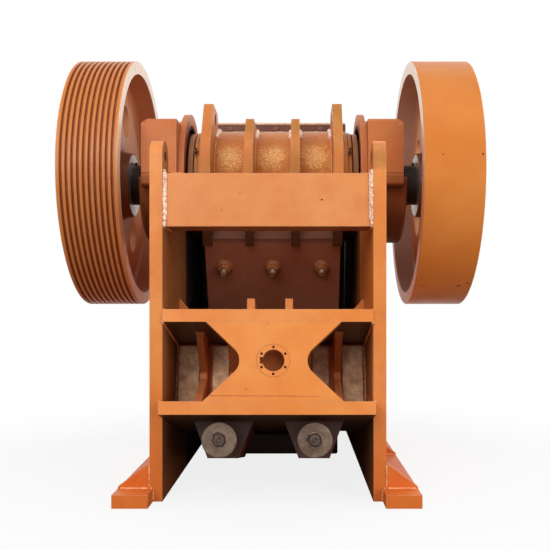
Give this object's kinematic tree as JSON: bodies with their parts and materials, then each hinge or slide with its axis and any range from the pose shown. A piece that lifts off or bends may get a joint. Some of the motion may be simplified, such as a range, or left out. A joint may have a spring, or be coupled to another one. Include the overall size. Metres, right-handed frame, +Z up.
{
  "type": "jaw crusher",
  "caption": "Single-toggle jaw crusher: a swing jaw on an eccentric shaft, a grooved sheave, a plain flywheel, a toggle box and sprung tension rods.",
  "frame": {"origin": "centre of the bounding box at floor level, on the underside of the feet", "axes": "+X to the right seen from the toggle side, where the picture is taken, +Y from the toggle side to the fixed jaw, +Z up"},
  "size_m": [2.2, 2.4858, 2.332],
  "materials": {
    "painted_plate": "satin orange paint on welded plate, with small chips",
    "painted_casting": "satin orange paint on castings, a little rough",
    "liner_steel": "manganese steel casting",
    "worn_steel": "dull brown steel with a thin rust",
    "bare_steel": "dark oiled steel",
    "oily_steel": "dark greasy steel"
  },
  "bodies": {
    "frame": {"base_flange_left": "painted_plate", "base_flange_right": "painted_plate", "base_gussets": "painted_plate", "bearing_cap_left": "painted_casting", "bearing_cap_right": "painted_casting", "bearing_seat_left": "painted_casting", "bearing_seat_right": "painted_casting", "cheek_plate_left": "liner_steel", "cheek_plate_right": "liner_steel", "fixed_jaw_liner": "liner_steel", "front_wall": "painted_plate", "front_wall_ribs": "painted_plate", "rear_top_beam": "painted_plate", "rod_brackets": "painted_plate", "rod_springs": "bare_steel", "shelf_gussets": "painted_plate", "side_plate_left": "painted_plate", "side_plate_right": "painted_plate", "toggle_box_bottom_plate": "painted_plate", "toggle_box_front_plate": "painted_plate", "toggle_box_ribs": "painted_plate", "toggle_box_top_plate": "painted_plate", "toggle_box_web_plate": "painted_plate", "toggle_plate": "liner_steel", "toggle_seat": "worn_steel", "toggle_shim_packs": "worn_steel"},
    "rotor": {"eccentric_shaft": "bare_steel", "shaft_collars": "oily_steel", "sheave_left": "painted_casting", "flywheel_right": "painted_casting"},
    "swing_jaw": {"jaw_back_plate": "painted_plate", "jaw_barrel": "painted_casting", "jaw_barrel_end_plates": "painted_plate", "jaw_body_ribs": "painted_plate", "jaw_face_plate": "painted_plate", "jaw_floor": "painted_plate", "jaw_guard_plate": "painted_plate", "jaw_inner_head_ribs": "painted_plate", "jaw_outer_head_ribs": "painted_plate", "jaw_toggle_block": "painted_plate", "swing_jaw_liner": "liner_steel", "rod_lugs": "painted_plate", "tension_rods": "worn_steel", "rod_discs": "worn_steel", "rod_pins": "bare_steel"}
  },
  "joints": [
    {"name": "shaft_spin", "type": "hinge", "parent": "frame", "child": "rotor", "pos_m": [0, -0.02194, 1.622], "axis": [1, 0, 0], "continuous": true},
    {"name": "jaw_swing", "type": "hinge", "parent": "rotor", "child": "swing_jaw", "pos_m": [0, -0.02194, 1.61], "axis": [1, 0, 0], "continuous": true}
  ],
  "couplings": [
    {"joint": "jaw_swing", "follows": "shaft_spin", "ratio": -1}
  ]
}
